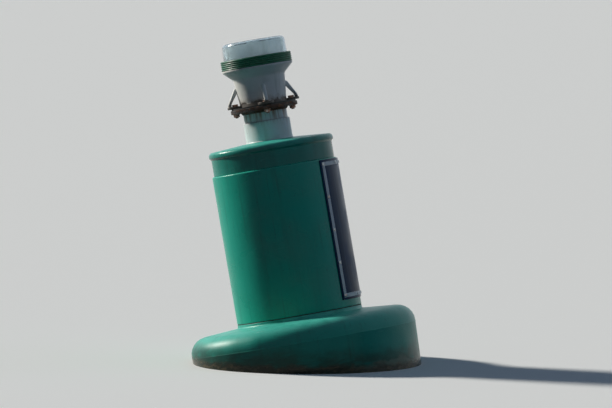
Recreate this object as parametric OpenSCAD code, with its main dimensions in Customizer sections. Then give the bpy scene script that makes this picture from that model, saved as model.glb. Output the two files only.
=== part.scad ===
// A moored can buoy of the small harbour class: a moulded float, a can shaped daymark that
// stands on its collar, a lantern on a short post, and below the waterline the ballast
// discs, the mooring rod and a jaw and eye swivel.
// The origin is on the buoy's axis at the still waterline, with +Z up.
// The side that faces -Y is called the front, and the number panel is on the +X side.

/* [Float] */
// Widest diameter of the float
float_d = 800; // [700:10:900]
// Height of the float's upper edge above the waterline, before it is rounded
freeboard = 145; // [110:1:160]
// Fall of the deck from the collar to the upper edge
deck_fall = 15; // [5:1:70]
// Rounding of the upper edge
shoulder_round = 60; // [15:1:80]
// Depth of the chine below the waterline
chine_draught = 105; // [80:5:140]
// Narrowing of the side wall, on the radius, from the upper edge to the chine
side_taper = 8; // [0:1:16]
// Rounding of the chine
chine_round = 30; // [10:1:50]
// Depth of the flat bottom below the waterline
hull_draught = 330; // [260:5:400]
// Diameter of the flat bottom
tail_d = 300; // [280:5:360]
// Rounding of the flat bottom's edge
tail_round = 18; // [5:1:25]
// Height of the moulded collar that the can stands on
collar_h = 12; // [12:1:40]
// Fillet where the deck meets the collar
collar_fillet = 6; // [2:1:7]
// Height of the spigot that centres the can
spigot_h = 40; // [20:1:60]
// Clearance round the spigot inside the can
spigot_clearance = 1.5; // [0.5:0.5:4]

/* [Can] */
// Outer diameter of the can
can_d = 442; // [400:2:480]
// Wall of the can
can_wall = 10; // [8:1:14]
// Height from the deck to the rim of the cap
can_h = 619; // [520:1:700]
// Rounding of the can's top and bottom edges
can_edge_round = 4; // [1:0.5:5]
// Thickness of the gasket between the collar and the can
foot_gasket_h = 3; // [2:0.5:6]
// Setback of the gasket from the can's outer wall
foot_gasket_inset = 4; // [2:0.5:6]
// Height of the cap's band, from the can to the rim
cap_h = 80; // [50:1:100]
// Setback of the cap's band from the can's outer wall
cap_undercut = 7; // [3:0.5:7]
// Height of the lip round the cap's rim
cap_rim_h = 15; // [12:1:24]
// Wall of the cap
cap_wall = 8; // [6:1:10]
// Rounding of the cap's rim
cap_rim_round = 9; // [4:1:12]
// Rise of the cap's top from the rim to the land under the post
cap_rise = 14; // [3:1:20]
// Width of the flat land round the post
land_margin = 16; // [8:1:30]
// Depth of the lip that centres the cap in the can
cap_lip_h = 18; // [10:1:30]
// Clearance round the cap's lip
cap_lip_clearance = 0.5; // [0.3:0.1:1]

/* [Number panel] */
// Angle round the can that the panel covers
panel_angle = 96; // [50:1:110]
// Turn of the panel's middle from +X towards +Y
panel_turn = 3.5; // [-10:0.5:10]
// Thickness of the panel
panel_t = 3; // [2:0.5:5]
// Clearance behind the panel and behind its border strip
panel_seat = 0.3; // [0.2:0.1:0.5]
// Distance from the top of the can's wall down to the panel
panel_top_gap = 4; // [4:1:40]
// Distance from the foot of the can up to the panel
panel_foot_gap = 25; // [5:1:60]
// Width of the border strip
border_w = 14; // [8:1:20]
// Distance of the border strip from the panel's edge
border_inset = 8; // [2:1:12]
// Thickness of the border strip
border_t = 1; // [0.5:0.5:2]

/* [Lantern post] */
// Outer diameter of the post
post_d = 165; // [150:1:175]
// Wall of the post
post_wall = 6; // [4:1:10]
// Height of the post from the cap's land to the flange
post_h = 110; // [90:1:140]
// Height of the post's step above the cap's land
post_step_h = 70; // [50:1:80]
// Narrowing above the step, on the radius
post_step_in = 6; // [3:1:8]
// Diameter of the flange
flange_d = 236; // [232:1:250]
// Thickness of the flange
flange_t = 14; // [10:1:18]
// Bore of the flange, for the cable
flange_bore_d = 60; // [40:1:90]
// Thickness of the gasket on the flange
flange_gasket_t = 5; // [3:1:8]
// Diameter of the gasket on the flange
flange_gasket_d = 228; // [224:1:230]
// Diameter of the lantern's bolt circle
bolt_circle_d = 200; // [196:1:204]
// Diameter of the lantern's bolts
bolt_d = 12; // [10:1:14]
// Clearance of the bolts in their holes, on the radius
bolt_clearance = 0.5; // [0.3:0.1:1]
// Width of the bolts' heads and nuts across the flats
bolt_af = 19; // [17:1:21]
// Height of the bolts' heads
bolt_head_h = 8; // [6:0.5:9]
// Height of the bolts' nuts
bolt_nut_h = 10; // [8:0.5:12]

/* [Lantern] */
// Number of feet and struts
foot_count = 4; // [3:1:4]
// Turn of the first foot from the front, towards +X
lantern_turn = 6; // [-20:1:20]
// Radius of each foot's rounded end
foot_end_r = 28; // [22:1:32]
// Thickness of the feet
foot_t = 8; // [6:1:12]
// Diameter of the stem at its foot
stem_foot_d = 164; // [156:1:170]
// Diameter of the stem at its top
stem_top_d = 184; // [176:1:200]
// Height of the stem with its foot
stem_h = 100; // [95:1:130]
// Height of the bowl above the stem
bowl_h = 36; // [25:1:50]
// Diameter of the bowl
bowl_d = 250; // [240:1:260]
// Height of the bowl's straight rim
bowl_rim_h = 6; // [4:1:10]
// Width of each strut
strut_w = 15; // [10:1:20]
// Height of each strut's root on the stem
strut_h = 82; // [72:1:90]
// Depth of each strut on the stem
strut_depth = 13; // [9:1:16]
// Clearance between a bolt's head and the strut that stands outside it
strut_clearance = 1.5; // [1:0.5:3]
// Height of the lens band
band_h = 34; // [28:1:44]
// How far the lens band's ridges stand out past the bowl, on the radius
band_overhang = 0.5; // [0:0.5:4]
// Number of ridges round the lens band
ridge_count = 5; // [3:1:7]
// Depth of the grooves between the ridges
ridge_depth = 2.5; // [1:0.5:3.5]
// How far the clear cover stands in from the bowl's edge, on the radius
cover_setback = 12; // [9:1:17]
// Height of the clear cover above the lens band
cover_h = 60; // [45:1:80]
// Wall of the clear cover
cover_wall = 4; // [3:0.5:5]
// Rounding of the clear cover's top edge
cover_round = 14; // [7:1:20]
// Clearance round the cell tray inside the cover
tray_clearance = 7; // [4:1:15]
// Air gap between the solar cells and the cover
cell_gap = 4; // [2:1:8]
// Thickness of the disc of solar cells
cell_t = 4; // [3:1:6]
// Margin of the cell tray round the solar cells
cell_margin = 5; // [2:1:12]

/* [Ballast and mooring rod] */
// Diameter of a ballast disc
disc_d = 260; // [200:5:280]
// Thickness of a ballast disc
disc_t = 24; // [16:1:32]
// Chamfer of a ballast disc
disc_chamfer = 3; // [1:0.5:5]
// Clearance of the discs and the plate round the rod
disc_clearance = 0.8; // [0.5:0.1:0.9]
// Diameter of the clamp plate
plate_d = 150; // [120:5:180]
// Thickness of the clamp plate
plate_t = 12; // [8:1:20]
// Diameter of the mooring rod
rod_d = 30; // [26:1:34]
// Depth of the rod's socket in the float
socket_depth = 60; // [40:5:90]
// Clearance of the rod in its socket
socket_clearance = 0.3; // [0.2:0.1:0.5]
// Width of the rod's nut across the flats
rod_nut_af = 46; // [42:1:52]
// Height of the rod's nut
rod_nut_h = 24; // [18:1:30]
// Length of the rod's neck between its nut and its eye
neck_h = 12; // [8:1:30]
// Outer radius of the rod's eye
rod_eye_r = 40; // [34:1:44]
// Thickness of the rod's eye
rod_eye_t = 26; // [20:1:32]

/* [Swivel] */
// Diameter of the jaw's pin
pin_d = 26; // [20:1:30]
// Clearance of the pin in the rod's eye, on the radius
pin_clearance = 0.5; // [0.3:0.1:0.9]
// Side clearance of the rod's eye between the jaw's ears
jaw_side_clearance = 1; // [0.5:0.1:2]
// Thickness of each ear of the jaw
ear_t = 14; // [10:1:18]
// Setback of the ears' rounded ends from the end of the rod's eye
ear_setback = 6; // [4:1:8]
// Clearance between the end of the rod's eye and the jaw's body
jaw_end_clearance = 6; // [5:1:10]
// Radius of the jaw's body
jaw_r = 40; // [38:1:46]
// Narrowing of the jaw's body at its foot, on the radius
jaw_taper = 8; // [2:1:12]
// Clearance round the swivel's head in the jaw's hollow
jaw_hollow_clearance = 6.5; // [6:0.5:9]
// Clearance above the swivel's head in the jaw's hollow
jaw_head_clearance = 5.5; // [5:0.5:9]
// Thickness of the jaw's floor
jaw_floor_t = 22; // [16:1:30]
// Diameter of the pin's head
pin_head_d = 42; // [34:1:48]
// Height of the pin's head
pin_head_h = 10; // [6:1:14]
// Width of the pin's nut across the flats
pin_nut_af = 41; // [34:1:46]
// Height of the pin's nut
pin_nut_h = 20; // [14:1:26]
// Length of the pin beyond its nut
pin_tail = 8; // [4:1:14]
// Diameter of the swivel's shank
shank_d = 20; // [16:1:22]
// Running clearance of the shank and its shoulders
swivel_clearance = 0.5; // [0.3:0.1:0.8]
// Diameter of the swivel's riveted head
swivel_head_d = 27; // [25:0.5:27.5]
// Height of the swivel's riveted head
swivel_head_h = 14; // [8:1:18]
// Diameter of the swivel's shoulder
shoulder_d = 48; // [40:1:60]
// Height of the swivel's shoulder
shoulder_h = 8; // [6:1:14]
// Length of the swivel's neck between its shoulder and its eye
swivel_neck_h = 8; // [6:1:20]
// Outer radius of the mooring eye
mooring_eye_r = 38; // [34:1:44]
// Thickness of the mooring eye
mooring_eye_t = 26; // [20:1:32]
// Bore of the mooring eye
mooring_bore_d = 34; // [24:1:40]

/* [Hidden] */
$fn = 96;

// Heights above the waterline, from the deck up
deck_z = freeboard + deck_fall;
collar_z = deck_z + collar_h;
can_foot_z = collar_z + foot_gasket_h;
rim_z = deck_z + can_h;
can_top_z = rim_z - cap_h;
land_z = rim_z + cap_rise;
flange_z = land_z + post_h;
flange_gasket_z = flange_z + flange_t;
base_z = flange_gasket_z + flange_gasket_t;
stem_top_z = base_z + stem_h;
band_z = stem_top_z + bowl_h;
cover_z = band_z + band_h;
lantern_top_z = cover_z + cover_h;
cells_top_z = lantern_top_z - cover_wall - cell_gap;

// Heights from the flat bottom down
bottom_z = -hull_draught;
disc_count = 4;
plate_top_z = bottom_z - disc_count * disc_t;
plate_z = plate_top_z - plate_t;
rod_nut_z = plate_z - rod_nut_h;
pin_z = rod_nut_z - neck_h - rod_eye_r;
rod_foot_z = pin_z + rod_eye_r - ear_setback / 2;

// Heights of the swivel, measured down from the pin
jaw_top_d = rod_eye_r + jaw_end_clearance;
jaw_floor_d = jaw_top_d + jaw_head_clearance + swivel_head_h + swivel_clearance;
jaw_foot_d = jaw_floor_d + jaw_floor_t;
shoulder_d_top = jaw_foot_d + swivel_clearance;
eye_centre_d = shoulder_d_top + shoulder_h + swivel_neck_h + mooring_eye_r;

// Radii that several pieces share
float_r = float_d / 2;
can_r = can_d / 2;
can_in_r = can_r - can_wall;
post_r = post_d / 2;
stem_foot_r = stem_foot_d / 2;
stem_top_r = stem_top_d / 2;
rod_r = rod_d / 2;
cover_r = bowl_d / 2 - cover_setback;
cover_in_r = cover_r - cover_wall;
tray_r = cover_in_r - tray_clearance;
jaw_gap = rod_eye_t / 2 + jaw_side_clearance;
ear_r = rod_eye_r - ear_setback;
panel_r = can_r + panel_seat;

// Chords in each rounded corner of a turned outline
corner_steps = 6;
// Width of a nut's round face as a share of its width across the flats
hexagon_face = 0.95;

hull_green = "#1f9c80";
can_green = "#239f84";
white = "#e4e6e1";
steel_dark = "#3a2f2a";
galvanised = "#8f9597";
iron = "#4a4745";
rubber_black = "#1b1c1d";
navy = "#101a2b";
lens_green = "#0f6b4c";

function unit(v) = v / norm(v);

// Points of one corner q between p and n, rounded to the radius f
function corner(p, q, n, f) = f == 0 ? [q] :
    let (u = unit(p - q),
         v = unit(n - q),
         half = acos(u * v) / 2,
         c = q + unit(u + v) * f / sin(half),
         a = q + u * f / tan(half) - c,
         b = q + v * f / tan(half) - c,
         start = atan2(a[1], a[0]),
         turn = atan2(b[1], b[0]) - start,
         sweep = turn > 180 ? turn - 360 : turn < -180 ? turn + 360 : turn)
    [for (i = [0 : corner_steps])
        c + f * [cos(start + sweep * i / corner_steps), sin(start + sweep * i / corner_steps)]];

// A closed outline from rows of radius, height and corner rounding
function outline(rows) = let (n = len(rows))
    [for (i = [0 : n - 1])
        let (p = rows[(i + n - 1) % n], q = rows[i], r = rows[(i + 1) % n])
        each corner([p[0], p[1]], [q[0], q[1]], [r[0], r[1]], q[2])];

module turned(rows) {
    rotate_extrude() polygon(outline(rows));
}

// A six sided nut or head by its width across the flats, its corners chamfered at 30 degrees.
// A bolt's head keeps its corners where it seats
module hexagon(af, h, head = false) {
    corner_r = af / 2 / cos(30);
    face_r = af / 2 * hexagon_face;
    drop = (corner_r - face_r) * tan(30);
    intersection() {
        cylinder(r = corner_r, h = h, $fn = 6);
        turned(concat(
            [[0, h, 0], [face_r, h, 0], [corner_r + 1, h - drop - tan(30), 0]],
            head ? [[corner_r + 1, 0, 0]] : [[corner_r + 1, drop + tan(30), 0], [face_r, 0, 0]],
            [[0, 0, 0]]));
    }
}

// A flat ring that stands on z = 0
module ring(outer_r, inner_r, h) {
    difference() {
        cylinder(r = outer_r, h = h);
        translate([0, 0, -1]) cylinder(r = inner_r, h = h + 2);
    }
}

// Puts its children at each of the lantern's feet, with +X pointing outwards
module at_feet() {
    for (i = [0 : foot_count - 1])
        rotate([0, 0, -90 + lantern_turn + i * 360 / foot_count]) children();
}

module bolt_holes(z, h) {
    at_feet() translate([bolt_circle_d / 2, 0, z - 1])
        cylinder(r = bolt_d / 2 + bolt_clearance, h = h + 2, $fn = 32);
}

module float_hull() {
    spigot_r = can_in_r - spigot_clearance;
    chine_r = float_r - side_taper;
    color(hull_green) difference() {
        // Rows of radius, height and rounding
        turned([
            [0, collar_z + spigot_h, 0],
            [spigot_r, collar_z + spigot_h, 4],
            [spigot_r, collar_z, 0],
            [can_r, collar_z, can_edge_round],
            [can_r, deck_z, collar_fillet],
            [float_r, freeboard, shoulder_round],
            [chine_r, -chine_draught, chine_round],
            [tail_d / 2, bottom_z, tail_round],
            [0, bottom_z, 0]]);
        translate([0, 0, bottom_z - 1])
            cylinder(r = rod_r + socket_clearance, h = socket_depth + 1);
    }
}

module foot_gasket() {
    color(rubber_black) translate([0, 0, collar_z])
        ring(can_r - foot_gasket_inset, can_in_r, foot_gasket_h);
}

module daymark_can() {
    color(can_green) turned([
        [can_in_r, can_foot_z, 0],
        [can_r, can_foot_z, can_edge_round],
        [can_r, can_top_z, can_edge_round],
        [can_in_r, can_top_z, 0]]);
}

module can_cap() {
    lip_r = can_in_r - cap_lip_clearance;
    band_r = can_r - cap_undercut;
    land_r = post_r + land_margin;
    color(can_green) turned([
        [0, land_z, 0],
        [land_r, land_z, 3],
        [can_r - cap_rim_round, rim_z, 0],
        [can_r, rim_z - cap_rim_round / 3, cap_rim_round / 2],
        [can_r, rim_z - cap_rim_h, 3],
        [band_r, rim_z - cap_rim_h - cap_undercut, 3],
        [band_r, can_top_z, 0],
        [lip_r, can_top_z, 0],
        [lip_r, can_top_z - cap_lip_h, 0],
        [lip_r - cap_wall, can_top_z - cap_lip_h, 0],
        [lip_r - cap_wall, rim_z - cap_wall - cap_rim_round, 6],
        [land_r, land_z - cap_wall, 0],
        [0, land_z - cap_wall, 0]]);
}

// A curved plate round the can, between two heights and over an angle about +X
module curved_plate(inner_r, t, z0, z1, angle) {
    rotate([0, 0, panel_turn - angle / 2])
        rotate_extrude(angle = angle)
            translate([inner_r, z0]) square([t, z1 - z0]);
}

module number_panel() {
    color(navy) curved_plate(panel_r, panel_t, can_foot_z + panel_foot_gap,
        can_top_z - panel_top_gap, panel_angle);
}

module panel_border() {
    face_r = panel_r + panel_t + panel_seat;
    inset_angle = border_inset / face_r * 180 / PI;
    strip_angle = border_w / face_r * 180 / PI;
    z0 = can_foot_z + panel_foot_gap + border_inset;
    z1 = can_top_z - panel_top_gap - border_inset;
    outer_angle = panel_angle - 2 * inset_angle;
    color(white) difference() {
        curved_plate(face_r, border_t, z0, z1, outer_angle);
        curved_plate(face_r - 1, border_t + 2, z0 + border_w, z1 - border_w,
            outer_angle - 2 * strip_angle);
    }
}

module lantern_post() {
    neck_r = post_r - post_step_in;
    color(white) turned([
        [post_r - post_wall, land_z, 0],
        [post_r, land_z, 0],
        [post_r, land_z + post_step_h, 3],
        [neck_r, land_z + post_step_h + post_step_in / 2, 2],
        [neck_r, flange_z, 0],
        [neck_r - post_wall, flange_z, 0],
        [neck_r - post_wall, land_z + post_step_h - post_wall, 0],
        [post_r - post_wall, land_z + post_step_h - post_wall * 2, 0]]);
}

module post_flange() {
    color(steel_dark) difference() {
        translate([0, 0, flange_z]) ring(flange_d / 2, flange_bore_d / 2, flange_t);
        bolt_holes(flange_z, flange_t);
    }
}

module flange_gasket() {
    color(rubber_black) difference() {
        translate([0, 0, flange_gasket_z])
            ring(flange_gasket_d / 2, flange_bore_d / 2, flange_gasket_t);
        bolt_holes(flange_gasket_z, flange_gasket_t);
    }
}

module lantern_bolts() {
    top = base_z + foot_t;
    color(galvanised) at_feet() translate([bolt_circle_d / 2, 0, 0]) {
        translate([0, 0, flange_z - bolt_nut_h - 4])
            cylinder(r = bolt_d / 2, h = top - flange_z + bolt_nut_h + 4, $fn = 32);
        translate([0, 0, top]) hexagon(bolt_af, bolt_head_h, head = true);
        translate([0, 0, flange_z - bolt_nut_h]) hexagon(bolt_af, bolt_nut_h);
    }
}

// One rounded foot, from inside the stem out past the bolt
module foot() {
    root_r = stem_foot_r / 2;
    translate([0, 0, base_z]) linear_extrude(foot_t) {
        translate([root_r, -foot_end_r])
            square([bolt_circle_d / 2 - root_r, 2 * foot_end_r]);
        translate([bolt_circle_d / 2, 0]) circle(r = foot_end_r, $fn = 48);
    }
}

// One open strut that stands outside the bolt's head and leans over it to the stem
module strut() {
    tip_r = bolt_circle_d / 2 + foot_end_r - 3;
    heel_r = bolt_circle_d / 2 + bolt_af / 2 / cos(30) + strut_clearance;
    heel_z = foot_t + bolt_head_h + strut_clearance;
    knee_z = strut_h - strut_depth;
    translate([0, strut_w / 2, base_z]) rotate([90, 0, 0]) linear_extrude(strut_w)
        polygon([
            [tip_r, foot_t - 1],
            [tip_r, heel_z - 2],
            [stem_top_r + 3, knee_z],
            [stem_foot_r - 4, strut_h],
            [stem_foot_r - 4, knee_z - strut_depth],
            [stem_foot_r + 2, knee_z - strut_depth],
            [heel_r, heel_z],
            [heel_r, foot_t - 1]]);
}

module lantern_base() {
    color(white) difference() {
        union() {
            // Turned so that its seam lies between two feet
            rotate([0, 0, lantern_turn - 90 + 180 / foot_count]) turned([
                [0, band_z, 0],
                [bowl_d / 2, band_z, 0],
                [bowl_d / 2, band_z - bowl_rim_h, 4],
                [stem_top_r, stem_top_z, 14],
                [stem_foot_r, base_z, 0],
                [0, base_z, 0]]);
            at_feet() {
                foot();
                strut();
            }
        }
        bolt_holes(base_z, foot_t);
    }
}

module lens_band() {
    pitch = band_h / ridge_count;
    crest_r = bowl_d / 2 + band_overhang;
    groove_r = crest_r - ridge_depth;
    // Each ridge rises steeply and falls back in a long slope
    ridges = [for (i = [0 : ridge_count - 1])
        each [[groove_r, band_z + pitch * i],
              [crest_r, band_z + pitch * (i + 0.25)],
              [crest_r, band_z + pitch * (i + 0.5)]]];
    color(lens_green) rotate_extrude() polygon(concat(
        [[cover_in_r, band_z]], ridges, [[groove_r, cover_z], [cover_in_r, cover_z]]));
}

module lens_cover() {
    color("#dfeeea", 0.4) turned([
        [cover_in_r, cover_z, 0],
        [cover_r, cover_z, 0],
        [cover_r - 2, lantern_top_z - 1, cover_round],
        [0, lantern_top_z, 0],
        [0, lantern_top_z - cover_wall, 0],
        [cover_in_r - 2, lantern_top_z - cover_wall - 1, cover_round - cover_wall]]);
}

module cell_tray() {
    color(white) translate([0, 0, band_z])
        cylinder(r = tray_r, h = cells_top_z - cell_t - band_z);
}

module solar_cells() {
    color(navy) translate([0, 0, cells_top_z - cell_t])
        cylinder(r = tray_r - cell_margin, h = cell_t);
}

module ballast_disc(i) {
    top = bottom_z - (i - 1) * disc_t;
    bore_r = rod_r + disc_clearance;
    color(iron) turned([
        [bore_r, top, 0],
        [disc_d / 2 - disc_chamfer, top, 0],
        [disc_d / 2, top - disc_chamfer, 0],
        [disc_d / 2, top - disc_t + disc_chamfer, 0],
        [disc_d / 2 - disc_chamfer, top - disc_t, 0],
        [bore_r, top - disc_t, 0]]);
}

module clamp_plate() {
    color(galvanised) translate([0, 0, plate_z])
        ring(plate_d / 2, rod_r + disc_clearance, plate_t);
}

module mooring_rod() {
    color(galvanised) difference() {
        union() {
            translate([0, 0, rod_foot_z])
                cylinder(r = rod_r, h = bottom_z + socket_depth - rod_foot_z);
            translate([0, rod_eye_t / 2, pin_z]) rotate([90, 0, 0])
                cylinder(r = rod_eye_r, h = rod_eye_t);
        }
        translate([0, rod_eye_t, pin_z]) rotate([90, 0, 0])
            cylinder(r = pin_d / 2 + pin_clearance, h = 2 * rod_eye_t);
    }
}

module rod_nut() {
    color(galvanised) difference() {
        translate([0, 0, rod_nut_z]) hexagon(rod_nut_af, rod_nut_h);
        translate([0, 0, rod_nut_z - 1])
            cylinder(r = rod_r + socket_clearance, h = rod_nut_h + 2);
    }
}

module swivel_jaw() {
    wide = jaw_gap + ear_t;
    color(galvanised) translate([0, 0, pin_z]) difference() {
        union() {
            // Ears with round ends, turned to the round of the body
            intersection() {
                for (side = [-1, 1]) translate([0, side * (jaw_gap + ear_t / 2), 0]) {
                    rotate([90, 0, 0]) cylinder(r = ear_r, h = ear_t, center = true);
                    translate([-ear_r, -ear_t / 2, -jaw_floor_d])
                        cube([2 * ear_r, ear_t, jaw_floor_d]);
                }
                translate([0, 0, -jaw_floor_d]) cylinder(r = jaw_r, h = jaw_floor_d + ear_r + 1);
            }
            turned([
                [0, -jaw_top_d, 0],
                [jaw_r, -jaw_top_d, 0],
                [jaw_r, -jaw_floor_d, 10],
                [jaw_r - jaw_taper, -jaw_foot_d, 4],
                [0, -jaw_foot_d, 0]]);
        }
        translate([0, wide + 1, 0]) rotate([90, 0, 0]) cylinder(r = pin_d / 2, h = 2 * wide + 2);
        translate([0, 0, -jaw_floor_d])
            cylinder(r = swivel_head_d / 2 + jaw_hollow_clearance, h = jaw_floor_d - jaw_top_d + 1);
        translate([0, 0, -jaw_foot_d - 1])
            cylinder(r = shank_d / 2 + swivel_clearance, h = jaw_floor_t + 2);
    }
}

module jaw_pin() {
    wide = jaw_gap + ear_t;
    color(galvanised) translate([0, 0, pin_z]) rotate([90, 0, 0]) {
        translate([0, 0, -wide - pin_nut_h - pin_tail])
            cylinder(r = pin_d / 2, h = 2 * wide + pin_nut_h + pin_tail);
        translate([0, 0, wide]) cylinder(r = pin_head_d / 2, h = pin_head_h);
    }
}

module jaw_nut() {
    color(galvanised) translate([0, jaw_gap + ear_t + pin_nut_h, pin_z]) rotate([90, 0, 0])
        difference() {
            hexagon(pin_nut_af, pin_nut_h);
            translate([0, 0, -1]) cylinder(r = pin_d / 2, h = pin_nut_h + 2);
        }
}

module swivel_eye() {
    head_top = jaw_floor_d - swivel_clearance - swivel_head_h;
    color(galvanised) translate([0, 0, pin_z]) difference() {
        union() {
            turned([
                [0, -head_top, 0],
                [shank_d / 2, -head_top, 0],
                [shank_d / 2, -shoulder_d_top, 0],
                [shoulder_d / 2, -shoulder_d_top, 1],
                [shoulder_d / 2, -shoulder_d_top - shoulder_h, 3],
                [mooring_eye_t / 2, mooring_eye_r - eye_centre_d, 0],
                [mooring_eye_t / 2, mooring_bore_d / 2 - eye_centre_d + 4, 0],
                [0, mooring_bore_d / 2 - eye_centre_d + 4, 0]]);
            translate([0, mooring_eye_t / 2, -eye_centre_d]) rotate([90, 0, 0])
                cylinder(r = mooring_eye_r, h = mooring_eye_t);
        }
        translate([0, mooring_eye_t, -eye_centre_d]) rotate([90, 0, 0])
            cylinder(r = mooring_bore_d / 2, h = 2 * mooring_eye_t);
    }
}

module swivel_head() {
    color(galvanised) translate([0, 0, pin_z - jaw_floor_d + swivel_clearance])
        ring(swivel_head_d / 2, shank_d / 2, swivel_head_h);
}

float_hull();
foot_gasket();
daymark_can();
can_cap();
number_panel();
panel_border();
lantern_post();
post_flange();
flange_gasket();
lantern_bolts();
lantern_base();
lens_band();
lens_cover();
cell_tray();
solar_cells();
ballast_disc(1);  // ballast_disc_1
ballast_disc(2);  // ballast_disc_2
ballast_disc(3);  // ballast_disc_3
ballast_disc(4);  // ballast_disc_4
clamp_plate();
mooring_rod();
rod_nut();
swivel_jaw();
jaw_pin();
jaw_nut();
swivel_eye();
swivel_head();
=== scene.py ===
"""The looks of a moored can buoy with its lantern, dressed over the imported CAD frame.

Everything is in the frame of the CAD: metres, +Z up along the buoy's axis, and the origin at
the still waterline. Named sizes and the rows of turned pieces are in millimetres.
"""

import math

import bmesh
import bpy
from mathutils import Matrix, Vector


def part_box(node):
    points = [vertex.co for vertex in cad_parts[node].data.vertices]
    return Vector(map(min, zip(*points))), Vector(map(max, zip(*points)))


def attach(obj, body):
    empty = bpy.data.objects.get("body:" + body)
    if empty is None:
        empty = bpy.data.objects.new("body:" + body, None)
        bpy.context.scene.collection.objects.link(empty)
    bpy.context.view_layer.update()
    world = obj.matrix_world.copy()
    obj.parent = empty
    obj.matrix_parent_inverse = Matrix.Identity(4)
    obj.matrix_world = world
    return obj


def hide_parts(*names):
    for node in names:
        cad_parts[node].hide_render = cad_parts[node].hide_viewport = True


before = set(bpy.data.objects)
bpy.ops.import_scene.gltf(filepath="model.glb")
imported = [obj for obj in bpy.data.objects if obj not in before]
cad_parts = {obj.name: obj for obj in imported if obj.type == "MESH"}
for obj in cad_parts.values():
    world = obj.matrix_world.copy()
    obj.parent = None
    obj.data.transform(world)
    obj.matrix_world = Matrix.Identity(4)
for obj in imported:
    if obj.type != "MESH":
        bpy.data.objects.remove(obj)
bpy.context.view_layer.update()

MM = 0.001
STEPS = 192                      # facets round a large turned piece
SMALL_STEPS = 40                 # facets round a bolt, a washer or a thread
ROUNDING_STEPS = 6               # facets in each rounded corner of a turned piece
SHARP = math.radians(35)         # faces that turn more than this keep a sharp edge

scene = bpy.context.scene


# Sizes in millimetres, read from the frame where a CAD node's box gives them

def foot_of(node):
    """The height of a CAD node's lowest point."""
    return round(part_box(node)[0].z / MM, 1)


def top_of(node):
    """The height of a CAD node's highest point."""
    return round(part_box(node)[1].z / MM, 1)


def radius_of(node):
    """The reach of a CAD node along X, which is the outer radius of a turned one."""
    return round(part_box(node)[1].x / MM, 1)


COLLAR_Z = foot_of("foot_gasket")
DECK_Z = COLLAR_Z - 12
FREEBOARD = DECK_Z - 15
# The float's corners, before they are rounded
MOULD_LINE_Z, CHINE_Z, BOTTOM_Z = 84, -105, foot_of("float_hull")
FLOAT_R, MOULD_LINE_R, CHINE_R, BOTTOM_R = 400, 398, 392, 150

CAN_FOOT_Z, CAN_TOP_Z = foot_of("daymark_can"), top_of("daymark_can")
CAN_R = radius_of("daymark_can")
CAN_IN_R = CAN_R - 10

# The post stands on the cap's land, and the cap's spigot sits in the can
LAND_Z = top_of("can_cap")
RIM_Z = LAND_Z - 14
LAND_R, CAP_R, SPIGOT_R = 98.5, CAN_R - 7, CAN_IN_R - 0.5
CAP_WALL, SPIGOT_H = 8, 18

# The panel's middle is turned a little round from +X
PANEL_R, PANEL_MIDDLE, PANEL_WIDTH = CAN_R + 3.3, math.radians(3.5), math.radians(96)
PANEL_LOW_Z, PANEL_HIGH_Z = foot_of("number_panel"), top_of("number_panel")
TAPE_T, RIVET_INSET = 1.3, 15

FLANGE_Z = foot_of("post_flange")
FLANGE_R, FLANGE_HOLE_R, FLANGE_T = radius_of("post_flange"), 30, 14
STEP_Z = FLANGE_Z - 40
POST_R, POST_WALL = radius_of("lantern_post"), 6
NECK_R = POST_R - POST_WALL

BASE_Z = foot_of("lantern_base")
FOOT_R, FOOT_T, STRUT_T = 28, 8, 15
# Each foot is turned 6 degrees round from the front, the back or a side
FOOT_ANGLES = [math.radians(-84 + 90 * i) for i in range(4)]
BOLT_CIRCLE_R, BOLT_END_Z = 100, FLANGE_Z - 14
BOLT_R, BOLT_PITCH, BOLT_THREAD_DEPTH = 6, 1.75, 0.9
BOLT_FLATS, BOLT_HEAD_H, BOLT_NUT_H = 19, 6.4, 8
WASHER_R, HEAD_WASHER_T, NUT_WASHER_T = 12, 1.6, 2.5

BAND_Z = foot_of("lens_band")
BAND_R, BAND_IN_R = radius_of("lens_band"), 109
RIDGES, RIDGE_H = 5, 2.5
BOWL_R, STEM_TOP_R, WAIST_R, STEM_FOOT_R = 125, 92, 83.2, 86
# The feet and the struts end inside the stem
ROOT_R = 60
STEM_TOP_Z = BAND_Z - 36
COVER_R, COVER_WALL = radius_of("lens_cover"), 4
COVER_Z, LANTERN_TOP_Z = foot_of("lens_cover"), top_of("lens_cover")
TRAY_R, TRAY_RIM, CELLS_TOP_Z = radius_of("cell_tray"), 4.5, top_of("solar_cells")

ROD_NUT_Z = foot_of("rod_nut")
ROD_NUT_FLATS, ROD_NUT_H = 46, 24
ROD_R, ROD_PITCH, ROD_THREAD_DEPTH = 15.5, 3.5, 1.4

# How the buoy floats: it leans to the left of the picture, and away from the camera
LEAN, AWAY = math.radians(9.7), math.radians(4.0)
level = Vector((math.sin(LEAN), -math.sin(AWAY), math.cos(LEAN))).normalized()


# How a finish is put together

def linear(code):
    """An sRGB hex colour as linear RGBA."""
    parts = [int(code[i:i + 2], 16) / 255 for i in (1, 3, 5)]
    return [c / 12.92 if c <= 0.04045 else ((c + 0.055) / 1.055) ** 2.4 for c in parts] + [1.0]


def add(tree, kind, inputs=None, **settings):
    """Adds one node. An input takes a value, an output, or a node for its first output."""
    made = tree.nodes.new("ShaderNode" + kind)
    for key, value in settings.items():
        setattr(made, key, value)
    for key, value in (inputs or {}).items():
        if isinstance(value, bpy.types.Node):
            value = value.outputs[0]
        if isinstance(value, bpy.types.NodeSocket):
            tree.links.new(value, made.inputs[key])
        else:
            made.inputs[key].default_value = value
    return made


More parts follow.
